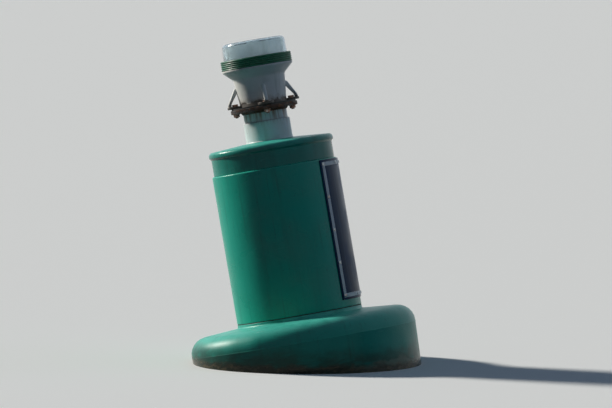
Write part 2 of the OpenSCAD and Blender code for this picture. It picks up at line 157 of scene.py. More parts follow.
def new_finish(name, **sockets):
    """A material with constants on its shader's own sockets, its tree and Object coordinates."""
    material = bpy.data.materials.new(name)
    material.use_nodes = True
    tree = material.node_tree
    shader = tree.nodes["Principled BSDF"]
    for key, value in sockets.items():
        shader.inputs[key.replace("_", " ")].default_value = value
    place = add(tree, "TexCoord").outputs["Object"]
    return material, tree, shader, place


def mask(tree, *factors):
    """A mask of factors multiplied together: numbers, other masks and spans of a value.

    A span is (value, start, full). It is 0 up to start and 1 from full on, and full may lie
    below start.
    """
    product = None
    for factor in factors:
        if isinstance(factor, tuple):
            value, start, full = factor
            factor = add(tree, "MapRange", {"Value": value, "From Min": start,
                                            "From Max": full},
                         interpolation_type="SMOOTHSTEP")
        if product is None:
            product = factor
        else:
            product = add(tree, "Math", {0: product, 1: factor}, operation="MULTIPLY")
    return product


def patches(tree, place, size, low, high, detail=3.0, offset=(0.0, 0.0, 0.0)):
    """A mask of soft patches of a size in millimetres, 0 below low and 1 above high."""
    scaled = add(tree, "Mapping", {"Vector": place, "Location": offset,
                                   "Scale": [1000 / s for s in size]})
    noise = add(tree, "TexNoise", {"Vector": scaled, "Scale": 1.0, "Detail": detail})
    return mask(tree, (noise.outputs["Fac"], low, high))


def frayed(tree, height, fringe, depth):
    """A height whose level lines a mask frays by a depth in millimetres."""
    return add(tree, "Math", {0: height, 1: mask(tree, fringe, depth * MM)},
               operation="SUBTRACT")


def layered(tree, base, layers):
    """Colours laid over a base colour, each where its mask shows it."""
    colour = linear(base)
    for where, code in layers:
        # A Mix node's sockets for colours are its inputs 6 and 7 and its output 2
        mix = add(tree, "Mix", {0: where, 6: colour, 7: linear(code)}, data_type="RGBA")
        colour = mix.outputs[2]
    return colour


def dress(tree, shader, colour, wear, fresh, worn):
    """Gives a finish its colour, and a roughness that goes from fresh to worn with wear."""
    roughness = add(tree, "MapRange", {"Value": wear, "To Min": fresh, "To Max": worn})
    tree.links.new(colour, shader.inputs["Base Color"])
    tree.links.new(roughness.outputs[0], shader.inputs["Roughness"])


def relief(tree, shader, layers):
    """Bumps of real depths in millimetres, one over the other."""
    below = None
    for height, depth in layers:
        inputs = {"Height": height, "Distance": depth * MM, "Strength": 1.0}
        if below:
            inputs["Normal"] = below
        below = add(tree, "Bump", inputs)
    tree.links.new(below.outputs[0], shader.inputs["Normal"])


# Materials

def fouling(tree, place, height):
    """What grows and dries on the hull about its waterline, as layers, and where it is wet.

    The heights are in metres: over the still waterline, and over the one that it leans to. Some
    of the darkening near the waterline is painted shade.
    """
    still = frayed(tree, height, patches(tree, place, (60, 60, 60), 0.3, 0.7, 4.0), 20)
    leaning = add(tree, "VectorMath", {0: place, 1: level}, operation="DOT_PRODUCT")
    washed = frayed(tree, leaning.outputs["Value"],
                    patches(tree, place, (46, 46, 40), 0.3, 0.7, 4.0), 12)
    # Dried scum over a ragged line, and below it the brown green slime that stays wet
    scum = mask(tree, (still, -0.035, -0.05), (still, -0.075, -0.055), 0.3)
    slime = add(tree, "Math", {0: mask(tree, (still, -0.058, -0.085)),
                               1: mask(tree, (washed, -0.04, -0.08))}, operation="MAXIMUM")
    weed = mask(tree, slime, patches(tree, place, (80, 80, 110), 0.36, 0.62, 6.0))
    dried = mask(tree, slime, patches(tree, place, (30, 30, 60), 0.5, 0.72, 5.0, (8, 3, 6)))
    shells = mask(tree, slime, patches(tree, place, (6, 6, 6), 0.67, 0.71, 2.0, (2, 9, 4)))
    # The band that is wetted as the buoy leans: dark weed, brown where it has dried. Its darkness
    # is partly painted shade where the float meets the water.
    band = mask(tree, (washed, 0.03, 0.008), (washed, -0.12, -0.05))
    brown = mask(tree, band, patches(tree, place, (32, 32, 12), 0.44, 0.64, 5.0, (4, 4, 4)))
    # Grime specks over the waterline, laid on thickly as painted shade on the float's steep side
    splash_grime_and_shade = mask(tree, (washed, 0.085, 0.03),
                  patches(tree, place, (90, 90, 30), 0.26, 0.52, 5.0, (5, 5, 5)), 0.75)
    # Painted shade, partly damp plastic: a darker green up to about 100 mm over the leaning
    # waterline
    damp_and_shade = mask(tree, (washed, 0.1, 0.05), 0.4)
    layers = [(damp_and_shade, "#055245"), (splash_grime_and_shade, "#0b3b31"), (scum, "#a9b59c"),
              (mask(tree, slime, 0.8), "#4a5438"), (weed, "#28321f"),
              (mask(tree, dried, 0.6), "#6d6547"), (mask(tree, shells, 0.8), "#b3ad96"),
              (mask(tree, band, 0.85), "#33301f"), (mask(tree, brown, 0.6), "#786b50")]
    return layers, mask(tree, (washed, 0.03, 0.0))


def moulded_polyethylene(name, colour, faded_and_sheen, grime, waterline=False, rubbed_and_highlit=None, gloss=0.23,
                         shine=0.17):
    """Rotationally moulded polyethylene, coloured right through.

    It gives a satin sheen over a faint orange peel, a chalky paleness on upward faces that is
    partly sun bleaching and partly a painted sky reflection, dirt that runs down in streaks,
    pale scuffs, and a band that is partly worn pale and partly a painted highlight.
    """
    finish, tree, shader, place = new_finish(name, IOR=1.5, Specular_IOR_Level=shine)
    height = add(tree, "SeparateXYZ", {0: place}).outputs["Z"]
    up = add(tree, "SeparateXYZ", {0: add(tree, "NewGeometry").outputs["Normal"]}).outputs["Z"]

    cloud = patches(tree, place, (210, 210, 160), 0.38, 0.66)
    # Paler upward faces: partly sun bleaching, partly a painted reflection of the sky
    chalk_and_sheen = mask(tree, (up, 0.3, 0.98), 0.5)
    streaks = mask(tree, patches(tree, place, (34, 34, 520), 0.5, 0.74, 4.0), 0.2)
    runs = mask(tree, patches(tree, place, (10, 10, 260), 0.6, 0.72, 2.0, (3, 1, 0)), 0.2)
    scuffs = mask(tree, patches(tree, place, (60, 60, 7), 0.64, 0.74, 5.0, (7, 2, 5)), 0.3)
    specks = mask(tree, patches(tree, place, (7, 7, 7), 0.68, 0.76, 2.0), 0.4)
    layers = [(mask(tree, cloud, 0.22), faded_and_sheen), (chalk_and_sheen, faded_and_sheen), (streaks, grime),
              (runs, grime), (scuffs, faded_and_sheen), (specks, grime)]
    if rubbed_and_highlit:
        # A band between two heights, partly worn pale and partly a painted highlight
        low, high, strength = rubbed_and_highlit
        scuffed_and_highlit = patches(tree, place, (45, 45, 30), 0.35, 0.6)
        layers.append((mask(tree, (height, low * MM, high * MM), scuffed_and_highlit, strength), faded_and_sheen))
    wear = add(tree, "Math", {0: mask(tree, cloud, 0.5), 1: mask(tree, chalk_and_sheen, 0.6)},
               operation="ADD")
    fresh, worn = gloss, 0.5
    if waterline:
        # It is smoother to the eye where it is wet
        grown, wet = fouling(tree, place, height)
        layers += grown
        dry = add(tree, "MapRange", {"Value": wear, "To Min": fresh, "To Max": worn})
        wear, fresh, worn = wet, dry, 0.2
    dress(tree, shader, layered(tree, colour, layers), wear, fresh, worn)
    # The peel is really 1 mm wide; it is drawn 5 mm wide, so that it shows
    relief(tree, shader, [(patches(tree, place, (5, 5, 5), 0.3, 0.7, 1.0), 0.12),
                          (patches(tree, place, (150, 150, 190), 0.2, 0.8, 1.0), 2.2)])
    return finish


def white_moulding(name, colour, rust_z=None, foot_z=None):
    """White polyethylene that has stood outdoors for years.

    It gives a soft off-white sheen, with grey green grime in runs and patches, rust that has
    run down from the steel above it, and a foot that is brown with the rust and dirt of the
    plate that it stands on, and darker towards its bottom.
    """
    finish, tree, shader, place = new_finish(name, IOR=1.5, Specular_IOR_Level=0.22)
    height = add(tree, "SeparateXYZ", {0: place}).outputs["Z"]
    cloud = patches(tree, place, (80, 80, 60), 0.4, 0.66)
    streaks = patches(tree, place, (20, 20, 210), 0.52, 0.74, 3.0)
    film = patches(tree, place, (30, 30, 46), 0.5, 0.72, 4.0, (2, 5, 1))
    specks = patches(tree, place, (6, 6, 6), 0.7, 0.78, 2.0)
    layers = [(mask(tree, cloud, 0.4), "#dcddd4"), (mask(tree, streaks, 0.3), "#9c9e91"),
              (mask(tree, film, 0.2), "#a5a798"), (mask(tree, specks, 0.4), "#7d7a6c")]
    if rust_z:
        runs = mask(tree, (height, (rust_z - 62) * MM, (rust_z - 4) * MM),
                    patches(tree, place, (9, 9, 260), 0.44, 0.62, 3.0, (4, 4, 0)), 0.8)
        edge = mask(tree, (height, (rust_z - 12) * MM, rust_z * MM), 0.6)
        layers += [(runs, "#8a5a34"), (edge, "#5d4330")]
    if foot_z:
        uneven = frayed(tree, height, patches(tree, place, (22, 22, 22), 0.3, 0.7, 4.0), 12)
        stained = mask(tree, (uneven, (foot_z + 26) * MM, (foot_z + 3) * MM), 0.5)
        # Darker still towards the bottom of the foot
        darker_foot_band = mask(tree, (uneven, (foot_z + 11) * MM, (foot_z + 3) * MM), 0.9)
        layers += [(stained, "#86705a"), (darker_foot_band, "#2e2620")]
    dress(tree, shader, layered(tree, colour, layers), cloud, 0.34, 0.5)
    relief(tree, shader, [(patches(tree, place, (5, 5, 5), 0.3, 0.7, 1.0), 0.08),
                          (patches(tree, place, (60, 60, 80), 0.2, 0.8, 1.0), 0.6)])
    return finish


def rusted_steel(name):
    """Painted steel plate whose paint has gone.

    It gives a nearly black brown, warmer where fresh rust blooms, and a rough scaly surface
    without a highlight.
    """
    finish, tree, shader, place = new_finish(name, Specular_IOR_Level=0.35)
    bloom = patches(tree, place, (34, 34, 20), 0.44, 0.6, 5.0)
    fresh = patches(tree, place, (12, 12, 9), 0.54, 0.66, 5.0, (5, 1, 2))
    paint = patches(tree, place, (26, 26, 18), 0.56, 0.6, 4.0, (1, 7, 3))
    layers = [(mask(tree, bloom, 0.75), "#432b1e"), (mask(tree, fresh, 0.65), "#754a2a"),
              (mask(tree, paint, 0.8), "#17191c")]
    dress(tree, shader, layered(tree, "#241c19", layers), bloom, 0.62, 0.88)
    relief(tree, shader, [(patches(tree, place, (4, 4, 4), 0.3, 0.7, 4.0), 0.5), (bloom, 0.8)])
    return finish


def moulded_rubber(name):
    """EPDM gasket rubber: it gives a matt black seam, greyed by dust and salt."""
    finish, tree, shader, place = new_finish(name, Specular_IOR_Level=0.3)
    dust = patches(tree, place, (26, 26, 12), 0.42, 0.68, 4.0)
    dress(tree, shader, layered(tree, "#1c1d1e", [(mask(tree, dust, 0.6), "#5a5f5a")]),
          dust, 0.62, 0.86)
    relief(tree, shader, [(patches(tree, place, (4, 4, 4), 0.3, 0.7, 2.0), 0.15)])
    return finish


def hot_dip_zinc(name, rust=0.3, slime=0.0):
    """Hot dip galvanised steel.

    It gives a dull grey with the zinc's crystals in slightly different greys, white bloom,
    and brown rust where the zinc has worn through.
    """
    finish, tree, shader, place = new_finish(name, Metallic=0.75)
    # The crystals are 10 mm wide, so there are 100 to the metre
    crystals = add(tree, "TexVoronoi", {"Vector": place, "Scale": 100.0})
    shade = add(tree, "SeparateXYZ", {0: crystals.outputs["Color"]})
    bloom = patches(tree, place, (36, 36, 36), 0.46, 0.66, 4.0)
    worn = patches(tree, place, (20, 20, 28), 0.59 - rust / 4, 0.71 - rust / 4, 5.0, (3, 3, 1))
    layers = [(mask(tree, shade, 0.5), "#7d8386"), (mask(tree, bloom, 0.5), "#b4b7b2"),
              (mask(tree, worn, 0.8), "#6e4427")]
    if slime:
        growth = patches(tree, place, (14, 14, 26), 0.42, 0.6, 4.0)
        layers.append((mask(tree, growth, slime), "#333d29"))
    dress(tree, shader, layered(tree, "#989da0", layers), bloom, 0.42, 0.68)
    relief(tree, shader, [(patches(tree, place, (5, 5, 5), 0.3, 0.7, 3.0), 0.12), (worn, 0.3)])
    return finish


def tarred_iron(name):
    """Sand cast iron under coal tar.

    It gives a black brown weight with the sand's coarse grain, and rust where tar has flaked.
    """
    finish, tree, shader, place = new_finish(name, Metallic=0.0, Specular_IOR_Level=0.4)
    flaked = patches(tree, place, (40, 40, 22), 0.5, 0.58, 5.0)
    growth = patches(tree, place, (18, 18, 18), 0.5, 0.64, 4.0, (2, 2, 6))
    layers = [(mask(tree, flaked, 0.8), "#5f3c26"), (mask(tree, growth, 0.5), "#3a4130")]
    dress(tree, shader, layered(tree, "#2b2723", layers), flaked, 0.45, 0.85)
    relief(tree, shader, [(patches(tree, place, (4, 4, 4), 0.3, 0.7, 4.0), 0.5), (flaked, -0.6)])
    return finish


def green_acrylic(name):
    """Moulded green acrylic: it gives a deep green that lights up where light passes it."""
    finish, tree, shader, place = new_finish(name, IOR=1.49, Specular_IOR_Level=0.15,
                                             Transmission_Weight=0.3)
    haze = patches(tree, place, (40, 40, 14), 0.42, 0.68, 4.0)
    dress(tree, shader, layered(tree, "#046348", [(mask(tree, haze, 0.3), "#1f8a6c")]),
          haze, 0.4, 0.56)
    relief(tree, shader, [(patches(tree, place, (26, 26, 14), 0.3, 0.7, 1.0), 0.06)])
    return finish


def hazed_acrylic(name):
    """Clear acrylic dulled by the sun: it gives a pale, slightly blue see-through cover."""
    finish, tree, shader, place = new_finish(name, IOR=1.49, Transmission_Weight=0.93)
    haze = patches(tree, place, (60, 60, 30), 0.4, 0.7, 4.0)
    salt = patches(tree, place, (7, 7, 60), 0.55, 0.7, 3.0, (2, 2, 2))
    layers = [(mask(tree, haze, 0.4), "#bfd3db"), (mask(tree, salt, 0.35), "#f4f5f0")]
    # The blue of these colours is partly painted, standing for blue surroundings seen through the
    # cover
    dress(tree, shader, layered(tree, "#dbeaf1", layers), haze, 0.08, 0.22)
    relief(tree, shader, [(patches(tree, place, (40, 40, 40), 0.3, 0.7, 1.0), 0.02)])
    return finish


def silicon_cells(name):
    """Silicon solar cells in resin: dark blue squares with silver busbars, under a gloss."""
    finish, tree, shader, place = new_finish(name, IOR=1.5, Coat_Weight=0.6)
    axes = add(tree, "SeparateXYZ", {0: place}).outputs
    # Cells are 48 mm wide, and each has three busbars. The columns are the axis that the
    # lines cross, their pitch in millimetres, and half of a line's width as a share of it
    lines = []
    for axis, pitch, share in (("X", 48, 0.05), ("Y", 48, 0.05), ("X", 16, 0.1)):
        across = axes[axis]
        for operation, number in (("MULTIPLY", 1 / (pitch * MM)), ("FRACT", 0.0),
                                  ("SUBTRACT", 0.5), ("ABSOLUTE", 0.0)):
            across = add(tree, "Math", {0: across, 1: number}, operation=operation)
        lines.append(mask(tree, (across, 0.5 - share, 0.5 - share / 2)))
    side_gaps, end_gaps, busbars = lines
    grain = patches(tree, place, (9, 5, 9), 0.4, 0.6, 2.0)
    layers = [(mask(tree, grain, 0.5), "#1c2a4d"), (busbars, "#8b9197"),
              (side_gaps, "#c9cdcb"), (end_gaps, "#c9cdcb")]
    dress(tree, shader, layered(tree, "#121a33", layers), grain, 0.2, 0.3)
    relief(tree, shader, [(patches(tree, place, (40, 40, 40), 0.3, 0.7, 1.0), 0.05)])
    return finish


def enamelled_sheet(name):
    """Enamelled aluminium sheet: it gives a deep glossy field that is faintly uneven, its blue
    partly painted.
    """
    # The blue tint on its reflections and the blue of its colours are partly a painted reflection
    # of blue surroundings
    finish, tree, shader, place = new_finish(name, IOR=1.5, Specular_IOR_Level=0.13,
                                             Specular_Tint=linear("#6f9fd0"))
    film = patches(tree, place, (60, 60, 90), 0.45, 0.7, 4.0)
    streaks = patches(tree, place, (12, 12, 230), 0.55, 0.7, 3.0, (1, 1, 1))
    layers = [(mask(tree, film, 0.3), "#12385e"), (mask(tree, streaks, 0.3), "#2c5270")]
    dress(tree, shader, layered(tree, "#062744", layers), film, 0.28, 0.42)
    relief(tree, shader, [(patches(tree, place, (90, 90, 130), 0.2, 0.8, 1.0), 0.5)])
    return finish


def reflective_tape(name):
    """Reflective sheeting: white, with the faint honeycomb of its cells and a soft sheen."""
    finish, tree, shader, place = new_finish(name, IOR=1.5, Specular_IOR_Level=0.25)
    # The cells are really 3 mm wide; they are drawn 7 mm wide, 143 to the metre, so that
    # they show
    cells = add(tree, "TexVoronoi", {"Vector": place, "Scale": 143.0},
                feature="DISTANCE_TO_EDGE")
    walls = mask(tree, (cells.outputs["Distance"], 0.08, 0.02))
    dirt = patches(tree, place, (22, 22, 80), 0.48, 0.7, 4.0)
    layers = [(mask(tree, walls, 0.35), "#a9b2b6"), (mask(tree, dirt, 0.45), "#9b9c8e")]
    dress(tree, shader, layered(tree, "#ccd5da", layers), dirt, 0.36, 0.55)
    relief(tree, shader, [(walls, 0.08)])
    return finish


# The float's pale band on its shoulder is mostly a painted highlight
FLOAT_GREEN = moulded_polyethylene("moulded_polyethylene_float", "#069c89", "#58c4b4",
                                   "#0a4038", waterline=True,
                                   rubbed_and_highlit=(FREEBOARD - 23, FREEBOARD + 1, 0.6), gloss=0.3,
                                   shine=0.2)
CAN_GREEN = moulded_polyethylene("moulded_polyethylene_can", "#04a790", "#2fb9a5", "#053a36")
# The cap's darker green is partly painted shade under its rim, and its pale band at the rim is
# partly a painted glint
CAP_GREEN = moulded_polyethylene("moulded_polyethylene_cap", "#028a7a", "#50c0b0", "#053a36",
                                 rubbed_and_highlit=(RIM_Z - 13, RIM_Z - 1, 0.4), gloss=0.17)
POST_WHITE = white_moulding("moulded_white_post", "#dfe8ea", rust_z=FLANGE_Z)
LANTERN_WHITE = white_moulding("moulded_white_lantern", "#ebece8", foot_z=BASE_Z)
RUSTED_STEEL = rusted_steel("rusted_steel_plate")
GASKET_RUBBER = moulded_rubber("moulded_epdm_rubber")
BOLT_ZINC = hot_dip_zinc("galvanised_bolt_steel", rust=1.1)
RIVET_ZINC = hot_dip_zinc("galvanised_rivet_steel", rust=0.1)
MOORING_ZINC = hot_dip_zinc("galvanised_forged_steel", rust=0.35, slime=0.6)
WEIGHT_IRON = tarred_iron("tarred_cast_iron")
LENS_GREEN = green_acrylic("moulded_green_acrylic")
COVER_CLEAR = hazed_acrylic("moulded_clear_acrylic")
CELL_SILICON = silicon_cells("laminated_silicon_cells")
PANEL_NAVY = enamelled_sheet("enamelled_aluminium_sheet")
TAPE_WHITE = reflective_tape("reflective_sheeting")


# How a piece is made

def merged(shape):
    """Merges a shape's doubles and turns its faces outwards."""
    bmesh.ops.remove_doubles(shape, verts=shape.verts[:], dist=1e-6)
    bmesh.ops.recalc_face_normals(shape, faces=shape.faces[:])
    return shape


def turned(rows, closed=False, steps=STEPS):
    """Spins a wire about Z. Each row is a radius, a height and a corner rounding, in mm.

    A closed wire makes a ring, and an open one begins and ends on the axis.
    """
    points = [Vector((r, 0, z)) * MM for r, z, _ in rows]
    shape = bmesh.new()
    wire = [shape.verts.new(p) for p in points]
    pairs = list(zip(wire, wire[1:])) + ([(wire[-1], wire[0])] if closed else [])
    for pair in pairs:
        shape.edges.new(pair)
    last = len(rows) - 1
    for i, (_, _, rounding) in enumerate(rows):
        if rounding and (closed or 0 < i < last):
            back = points[i - 1] - points[i]
            on = points[(i + 1) % len(rows)] - points[i]
            cut = rounding * MM * math.tan((math.pi - back.angle(on)) / 2)
            bmesh.ops.bevel(shape, geom=[wire[i]], offset=cut, offset_type="OFFSET",
                            segments=ROUNDING_STEPS, profile=0.5, affect="VERTICES",
                            material=-1)
    bmesh.ops.spin(shape, geom=shape.verts[:] + shape.edges[:], cent=(0, 0, 0),
                   axis=(0, 0, 1), dvec=(0, 0, 0), angle=2 * math.pi, steps=steps,
                   use_merge=True)
    return merged(shape)


def eased(shape, rounding, segments=3, least=30):
    """Rounds a shape's edges that are sharper than a number of degrees. Rounding in mm."""
    edges = [e for e in shape.edges
             if e.is_manifold and e.calc_face_angle() > math.radians(least)]
    bmesh.ops.bevel(shape, geom=edges, offset=rounding * MM, offset_type="OFFSET",
                    segments=segments, profile=0.5, affect="EDGES", clamp_overlap=True,
                    material=-1)
    return shape


def raised(shape, way):
    """Makes a flat shape a solid, by pulling its face along a way in millimetres."""
    grown = bmesh.ops.extrude_face_region(shape, geom=shape.faces[:])
    pulled = [v for v in grown["geom"] if isinstance(v, bmesh.types.BMVert)]
    bmesh.ops.translate(shape, verts=pulled, vec=Vector(way) * MM)
    return merged(shape)


def hexagon(across, height, z):
    """A nut or a bolt's head that stands on z, with its corners taken off."""
    shape = bmesh.new()
    corner_r = across / 2 / math.cos(math.pi / 6) * MM
    bmesh.ops.create_cone(shape, cap_ends=True, segments=6, radius1=corner_r,
                          radius2=corner_r, depth=height * MM)
    bmesh.ops.translate(shape, verts=shape.verts[:], vec=(0, 0, (z + height / 2) * MM))
    return eased(shape, across * 0.05, 2)


def thread(radius, depth, pitch, z, count):
    """A number of a thread's turns from z up, as rings of crests and roots."""
    rows = [(0, z, 0)]
    for i in range(count):
        rows += [(radius - depth, z + pitch * i, 0), (radius, z + pitch * (i + 0.5), 0)]
    rows += [(radius - depth, z + pitch * count, 0), (0, z + pitch * count, 0)]
    return turned(rows, steps=SMALL_STEPS)


def placed(shape, matrix):
    """Moves a shape by a matrix."""
    bmesh.ops.transform(shape, matrix=matrix, verts=shape.verts[:])
    return shape


def gathered(shapes):
    """Several closed shapes in one."""
    whole = bmesh.new()
    for shape in shapes:
        part = bpy.data.meshes.new("part")
        shape.to_mesh(part)
        shape.free()
        whole.from_mesh(part)
        bpy.data.meshes.remove(part)
    return whole


def shown(name, shape, finish):
    """Makes a shape an object of the scene."""
    mesh = bpy.data.meshes.new(name)
    shape.to_mesh(mesh)
    shape.free()
    mesh.materials.append(finish)
    made = bpy.data.objects.new(name, mesh)
    scene.collection.objects.link(made)
    return made


def piece(name, shape, finish, body, slot, *replaced):
    """Makes a shape a piece of the buoy, and hides the CAD nodes that it stands for."""
    for face in shape.faces:
        face.smooth = True
    made = shown(name, shape, finish)
    made.data.set_sharp_from_angle(angle=SHARP)
    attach(made, body)
    if replaced:
        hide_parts(*replaced)
    return made


def forged(name, node, finish, body, slot, rounding, segments=3):
    """A copy of a CAD node with its edges rounded as a forging's or a casting's are."""
    shape = bmesh.new()
    shape.from_mesh(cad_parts[node].data)
    bmesh.ops.remove_doubles(shape, verts=shape.verts[:], dist=1e-5)
    bmesh.ops.dissolve_limit(shape, angle_limit=math.radians(0.5), verts=shape.verts[:],
                             edges=shape.edges[:])
    return piece(name, eased(shape, rounding, segments), finish, body, slot, node)


# Camera and stage

LOOK_DOWN = math.radians(0.3)    # the camera's height over the buoy's cross plane
DISTANCE = 24.0
FRAME_WIDTH = 2.15               # metres across the picture at the buoy
SENSOR = 36.0
AIM = Vector((0.088, 0.0, 0.552))
FLOOR_RADIUS = 150.0

look = Vector((0.0, math.cos(LOOK_DOWN), -math.sin(LOOK_DOWN)))
up = (level - level.dot(look) * look).normalized()
right = look.cross(up)

lens = bpy.data.cameras.new("camera")
lens.sensor_width = SENSOR
lens.lens = SENSOR * DISTANCE / FRAME_WIDTH
lens.clip_end = 500.0
camera = bpy.data.objects.new("camera", lens)
camera.matrix_world = Matrix.Translation(AIM - look * DISTANCE) @ Matrix(
    (right, up, -look)).transposed().to_4x4()
scene.collection.objects.link(camera)
scene.camera = camera


def stage_floor():
    """A plain pale floor at the waterline. From below it is clear, so that the hull shows."""
    finish = bpy.data.materials.new("painted_studio_floor")
    finish.use_nodes = True
    tree = finish.node_tree
    shader = tree.nodes["Principled BSDF"]
    shader.inputs["Roughness"].default_value = 0.9
    shader.inputs["Specular IOR Level"].default_value = 0.1
    rays = add(tree, "LightPath").outputs
    # Pale to the eye and in reflections, but it throws little light back up
    pale = add(tree, "Mix", {0: rays["Is Diffuse Ray"], 6: linear("#fafcfd"),
                             7: linear("#33424f")}, data_type="RGBA")
    tree.links.new(pale.outputs[2], shader.inputs["Base Color"])
    seen_below = mask(tree, rays["Is Camera Ray"],
                      add(tree, "NewGeometry").outputs["Backfacing"])
    mix = add(tree, "MixShader", {0: seen_below, 1: shader, 2: add(tree, "BsdfTransparent")})
    tree.links.new(mix.outputs[0], tree.nodes["Material Output"].inputs["Surface"])
    shape = bmesh.new()
    bmesh.ops.create_circle(shape, cap_ends=True, segments=96, radius=FLOOR_RADIUS)
    placed(shape, Vector((0, 0, 1)).rotation_difference(level).to_matrix().to_4x4())
    shown("stage_floor", shape, finish)


def lamp(name, direction, strength, softness, colour):
    """A soft far lamp that shines along a direction."""
    light = bpy.data.lights.new(name, "SUN")
    light.energy = strength
    light.angle = math.radians(softness)
    light.color = linear(colour)[:3]
    made = bpy.data.objects.new(name, light)
    made.matrix_world = Vector((0, 0, -1)).rotation_difference(direction).to_matrix().to_4x4()
    scene.collection.objects.link(made)


def studio():
    """A key light from the left and slightly behind, a weak fill, and an even pale room.

    A lamp from below lights the hull alone, because the floor keeps it from the rest.
    """
    lamp("key_lamp", Vector((0.71, -0.38, -0.6)), 4.0, 8, "#fffaf0")
    lamp("fill_lamp", Vector((-0.95, 0.1, -0.3)), 0.24, 60, "#cfe2ff")
    lamp("under_lamp", Vector((0.55, 0.45, 0.7)), 2.2, 60, "#f2f7ff")
    world = bpy.data.worlds.new("pale_room")
    scene.world = world
    world.use_nodes = True
    tree = world.node_tree
    rays = add(tree, "LightPath").outputs
    seen = rays["Is Camera Ray"]
    for ray in ("Is Glossy Ray", "Is Transmission Ray"):
        seen = add(tree, "Math", {0: seen, 1: rays[ray]}, operation="MAXIMUM")
    room = add(tree, "Background", {"Color": linear("#a8d2ff"), "Strength": 0.075})
    backdrop = add(tree, "Background", {"Color": linear("#d6dee4"), "Strength": 1.0})
    mix = add(tree, "MixShader", {0: seen, 1: room, 2: backdrop})
    tree.links.new(mix.outputs[0], tree.nodes["World Output"].inputs["Surface"])


stage_floor()
studio()
scene.view_settings.view_transform = "Standard"


# Float

piece("float_shell", turned([
    (0, COLLAR_Z, 0),
    (CAN_R, COLLAR_Z, 1.5),
    (CAN_R, DECK_Z, 6),
    (FLOAT_R, FREEBOARD, 60),
    # The two halves of the mould leave a fine ridge
    (MOULD_LINE_R + 0.1, MOULD_LINE_Z + 2, 0),
    (MOULD_LINE_R + 0.9, MOULD_LINE_Z, 0.5),
    (MOULD_LINE_R, MOULD_LINE_Z - 2, 0),
    (CHINE_R, CHINE_Z, 30),
    (BOTTOM_R, BOTTOM_Z, 18),
    (0, BOTTOM_Z, 0),
]), FLOAT_GREEN, "buoy", "float_plastic", "float_hull")


# Can and cap

piece("can_shell", turned([
    (CAN_IN_R, CAN_FOOT_Z, 0),
    (CAN_R, CAN_FOOT_Z, 1.5),
    (CAN_R, CAN_TOP_Z, 6),
    (CAN_IN_R, CAN_TOP_Z, 0),
], closed=True), CAN_GREEN, "buoy", "can_plastic", "daymark_can")

# The seal bulges a little under the can's weight
piece("foot_seal", turned([
    (CAN_IN_R, COLLAR_Z, 0),
    (CAN_R - 2, COLLAR_Z, 0),
    (CAN_R + 0.5, (COLLAR_Z + CAN_FOOT_Z) / 2, 1),
    (CAN_R - 2, CAN_FOOT_Z, 0),
    (CAN_IN_R, CAN_FOOT_Z, 0),
], closed=True), GASKET_RUBBER, "buoy", "rubber", "foot_gasket")

piece("cap_shell", turned([
    (0, LAND_Z, 0),
    (LAND_R, LAND_Z, 3),
    (CAN_R, RIM_Z + 4, 14),
    (CAN_R, RIM_Z - 15, 4),
    (CAP_R, RIM_Z - 22, 3),
    (CAP_R, CAN_TOP_Z, 1.5),
    (SPIGOT_R, CAN_TOP_Z, 0),
    (SPIGOT_R, CAN_TOP_Z - SPIGOT_H, 0),
    (SPIGOT_R - CAP_WALL, CAN_TOP_Z - SPIGOT_H, 0),
    (SPIGOT_R - CAP_WALL, RIM_Z - 17, 6),
    (LAND_R, LAND_Z - CAP_WALL, 0),
    (0, LAND_Z - CAP_WALL, 0),
]), CAP_GREEN, "buoy", "can_plastic", "can_cap")


# Number panel

forged("panel_field", "number_panel", PANEL_NAVY, "buoy", "panel_dark", 0.8, 2)
forged("panel_edging", "panel_border", TAPE_WHITE, "buoy", "panel_light", 0.3, 1)


def rivet_places():
    """Angle and height of each rivet, along the tape that edges the panel."""
    half = PANEL_WIDTH / 2 - RIVET_INSET / PANEL_R
    low, high = PANEL_LOW_Z + RIVET_INSET, PANEL_HIGH_Z - RIVET_INSET
    sides = [(side * half, low + (high - low) * i / 4) for side in (-1, 1) for i in range(5)]
    ends = [(half * turn, z) for turn in (-0.5, 0, 0.5) for z in (low, high)]
    return [(PANEL_MIDDLE + turn, z) for turn, z in sides + ends]


def rivet():
    """A domed blind rivet with its pin's hole, on the face of the panel."""
    return turned([(0, -1, 0), (5.5, -1, 0), (5.5, 0.8, 0.5), (3, 2.4, 1.5), (1.2, 2.4, 0.3),
                   (1.2, 1.4, 0), (0, 1.4, 0)], steps=SMALL_STEPS // 2)


piece("panel_rivets", gathered([
    placed(rivet(), Matrix.Rotation(turn, 4, "Z")
           @ Matrix.Translation(Vector((PANEL_R + TAPE_T, 0, z)) * MM)
           @ Matrix.Rotation(math.pi / 2, 4, "Y"))
    for turn, z in rivet_places()]), RIVET_ZINC, "buoy", "galvanised_steel")


# Post and flange

piece("post_tube", turned([
    (POST_R - POST_WALL, LAND_Z, 0),
    # The bead of sealant round the post's foot
    (POST_R + 3.5, LAND_Z, 1),
    (POST_R + 0.5, LAND_Z + 3.5, 1.5),
    (POST_R, LAND_Z + 6, 0),
    (POST_R, STEP_Z, 3),
    (NECK_R, STEP_Z + 3, 2),
    (NECK_R, FLANGE_Z, 0),
    (NECK_R - POST_WALL, FLANGE_Z, 0),
    (NECK_R - POST_WALL, STEP_Z - 6, 0),
    (POST_R - POST_WALL, STEP_Z - 12, 0),
], closed=True), POST_WHITE, "buoy", "white_plastic", "lantern_post")

piece("flange_plate", gathered([
    turned([(FLANGE_HOLE_R, FLANGE_Z, 1), (FLANGE_R, FLANGE_Z, 2),
            (FLANGE_R, FLANGE_Z + FLANGE_T, 2), (FLANGE_HOLE_R, FLANGE_Z + FLANGE_T, 1)],
           closed=True),
    # The weld under the plate
    turned([(NECK_R - 1.5, FLANGE_Z - 8, 0), (NECK_R + 2, FLANGE_Z - 8, 1),
            (NECK_R + 8.5, FLANGE_Z + 1, 2), (NECK_R - 1.5, FLANGE_Z + 1, 0)], closed=True),
]), RUSTED_STEEL, "buoy", "rusty_steel", "post_flange")


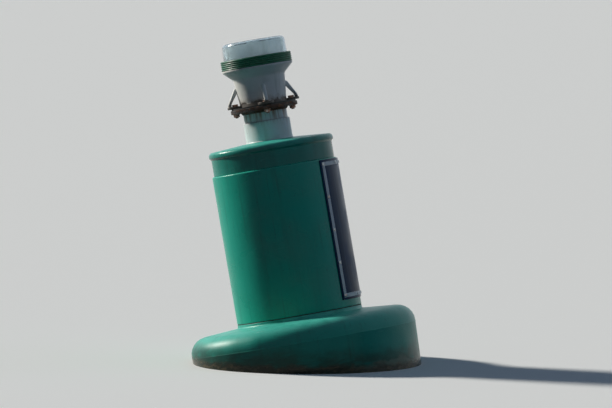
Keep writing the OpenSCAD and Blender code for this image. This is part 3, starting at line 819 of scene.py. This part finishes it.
def lantern_bolt():
    """One bolt with its head, nut, washers and the thread that shows below the nut."""
    foot_top = BASE_Z + FOOT_T
    head_z = foot_top + HEAD_WASHER_T
    nut_top = FLANGE_Z - NUT_WASHER_T
    return gathered([
        turned([(0, FLANGE_Z, 0), (BOLT_R, FLANGE_Z, 0), (BOLT_R, foot_top, 0),
                (0, foot_top, 0)], steps=SMALL_STEPS),
        turned([(0, foot_top, 0), (WASHER_R, foot_top, 0.4), (WASHER_R, head_z, 0.6),
                (0, head_z, 0)], steps=SMALL_STEPS),
        hexagon(BOLT_FLATS, BOLT_HEAD_H, head_z),
        turned([(0, nut_top, 0), (WASHER_R, nut_top, 0.6), (WASHER_R, FLANGE_Z, 0.4),
                (0, FLANGE_Z, 0)], steps=SMALL_STEPS),
        hexagon(BOLT_FLATS, BOLT_NUT_H, nut_top - BOLT_NUT_H),
        thread(BOLT_R, BOLT_THREAD_DEPTH, BOLT_PITCH, BOLT_END_Z, 4),
    ])


piece("lantern_bolt_set", gathered([
    placed(lantern_bolt(), Matrix.Rotation(turn, 4, "Z")
           @ Matrix.Translation((BOLT_CIRCLE_R * MM, 0, 0))
           @ Matrix.Rotation(math.pi / 6, 4, "Z"))
    for turn in FOOT_ANGLES]), BOLT_ZINC, "buoy", "galvanised_steel", "lantern_bolts")


# Lantern

def lantern_foot():
    """A rounded foot: a disc about the bolt that is drawn in towards the stem."""
    shape = bmesh.new()
    bmesh.ops.create_circle(shape, cap_ends=True, segments=48, radius=FOOT_R * MM)
    bmesh.ops.translate(shape, verts=shape.verts[:], vec=(BOLT_CIRCLE_R * MM, 0, BASE_Z * MM))
    for vert in shape.verts:
        if vert.co.x < (BOLT_CIRCLE_R - 1) * MM:
            vert.co.x = ROOT_R * MM
    return eased(raised(shape, (0, 0, FOOT_T)), 1.6)


def lantern_strut():
    """An open strut from the foot's end, outside the bolt's head, up to the stem."""
    shape = bmesh.new()
    # Radius, and height over the foot's underside
    outline = [(125, 4), (125, 16), (95, 69), (ROOT_R, 86), (ROOT_R, 44), (84, 56),
               (112.5, 17.5), (112.5, 4)]
    shape.faces.new([shape.verts.new((r * MM, -STRUT_T / 2 * MM, (BASE_Z + z) * MM))
                     for r, z in outline])
    return eased(raised(shape, (0, STRUT_T, 0)), 5.8, 5, 10)


stem = turned([
    (0, BAND_Z, 0),
    (BOWL_R, BAND_Z, 0.8),
    (BOWL_R, BAND_Z - 6, 4),
    (STEM_TOP_R, STEM_TOP_Z, 14),
    (WAIST_R, BASE_Z + 12, 8),
    (STEM_FOOT_R, BASE_Z, 0),
    (0, BASE_Z, 0),
])
feet = [placed(make(), Matrix.Rotation(turn, 4, "Z"))
        for turn in FOOT_ANGLES for make in (lantern_foot, lantern_strut)]
piece("lantern_housing", gathered([stem] + feet), LANTERN_WHITE, "buoy", "white_plastic",
      "lantern_base")


def lens_rows():
    """The lens band's outline: ridges outside and a plain wall inside."""
    pitch = (COVER_Z - BAND_Z) / RIDGES
    root_r = BAND_R - RIDGE_H
    rows = [(BAND_IN_R, BAND_Z, 0)]
    for i in range(RIDGES):
        z = BAND_Z + pitch * i
        rows += [(root_r, z + 0.1, 0), (BAND_R, z + pitch / 4, 0.5), (BAND_R, z + pitch / 2, 0.5)]
    return rows + [(root_r, COVER_Z, 0.5), (BAND_IN_R, COVER_Z, 0)]


piece("lens_ring", turned(lens_rows(), closed=True), LENS_GREEN, "buoy", "green_lens",
      "lens_band")

piece("lantern_cover", turned([
    (BAND_IN_R, COVER_Z + 0.2, 0),
    (COVER_R - 0.2, COVER_Z + 0.2, 0),
    (COVER_R - 2, LANTERN_TOP_Z - 1, 14),
    (0, LANTERN_TOP_Z, 0),
    (0, LANTERN_TOP_Z - COVER_WALL, 0),
    (COVER_R - 2 - COVER_WALL, LANTERN_TOP_Z - 1 - COVER_WALL, 10),
], closed=True), COVER_CLEAR, "buoy", "clear_lens", "lens_cover")

piece("lantern_tray", turned([
    (0, BAND_Z + 0.3, 0),
    (TRAY_R, BAND_Z + 0.3, 0),
    (TRAY_R, CELLS_TOP_Z - 4, 2),
    (TRAY_R - TRAY_RIM, CELLS_TOP_Z - 4, 0),
    (TRAY_R - TRAY_RIM, CELLS_TOP_Z - 5, 0),
    (0, CELLS_TOP_Z - 5, 0),
]), LANTERN_WHITE, "buoy", "white_plastic", "cell_tray")


# Ballast, rod and swivel

for i in range(1, 5):
    forged(f"ballast_weight_{i}", f"ballast_disc_{i}", WEIGHT_IRON, "buoy", "cast_iron", 1.2, 2)
forged("clamp_washer", "clamp_plate", MOORING_ZINC, "buoy", "galvanised_steel", 1.5)
forged("mooring_forging", "mooring_rod", MOORING_ZINC, "buoy", "galvanised_steel", 3.0)
piece("rod_nut_chamfered", hexagon(ROD_NUT_FLATS, ROD_NUT_H, ROD_NUT_Z), MOORING_ZINC, "buoy",
      "galvanised_steel", "rod_nut")
# Three turns of the rod's thread show below its nut
piece("rod_thread",
      thread(ROD_R, ROD_THREAD_DEPTH, ROD_PITCH, ROD_NUT_Z - 3 * ROD_PITCH, 3),
      MOORING_ZINC, "buoy", "galvanised_steel")
forged("jaw_forging", "swivel_jaw", MOORING_ZINC, "jaw", "galvanised_steel", 2.0)
forged("jaw_bolt", "jaw_pin", MOORING_ZINC, "jaw", "galvanised_steel", 1.5)
forged("jaw_bolt_nut", "jaw_nut", MOORING_ZINC, "jaw", "galvanised_steel", 1.5, 2)
forged("eye_forging", "swivel_eye", MOORING_ZINC, "swivel", "galvanised_steel", 2.5)
forged("eye_rivet_head", "swivel_head", MOORING_ZINC, "swivel", "galvanised_steel", 1.5)


# CAD nodes that show as they are

for node, finish in (("flange_gasket", GASKET_RUBBER), ("solar_cells", CELL_SILICON)):
    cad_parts[node].data.materials.clear()
    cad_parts[node].data.materials.append(finish)
